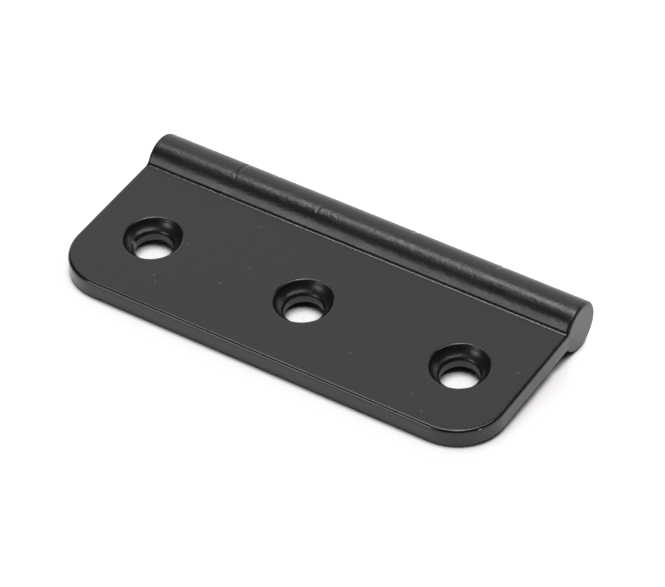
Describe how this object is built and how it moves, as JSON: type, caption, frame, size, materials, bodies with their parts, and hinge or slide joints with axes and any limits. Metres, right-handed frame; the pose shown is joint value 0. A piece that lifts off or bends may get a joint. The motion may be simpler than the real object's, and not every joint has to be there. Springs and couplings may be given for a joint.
{
  "type": "dummy butt hinge",
  "caption": "Dummy butt hinge: a flat leaf with round front corners and countersunk screw holes, in one piece with a solid imitation knuckle, screwed on for show.",
  "frame": {"origin": "axis of the middle screw hole, at the leaf's back face", "axes": "+X along the knuckle, +Y across the leaf towards the knuckle, +Z out of the show face, the way the screws leave"},
  "size_m": [0.0762, 0.0346, 0.0081],
  "materials": {
    "black_coat": "satin black powder coat on metal, finely textured"
  },
  "bodies": {
    "root": {"dummy_hinge": "black_coat"}
  },
  "joints": []
}
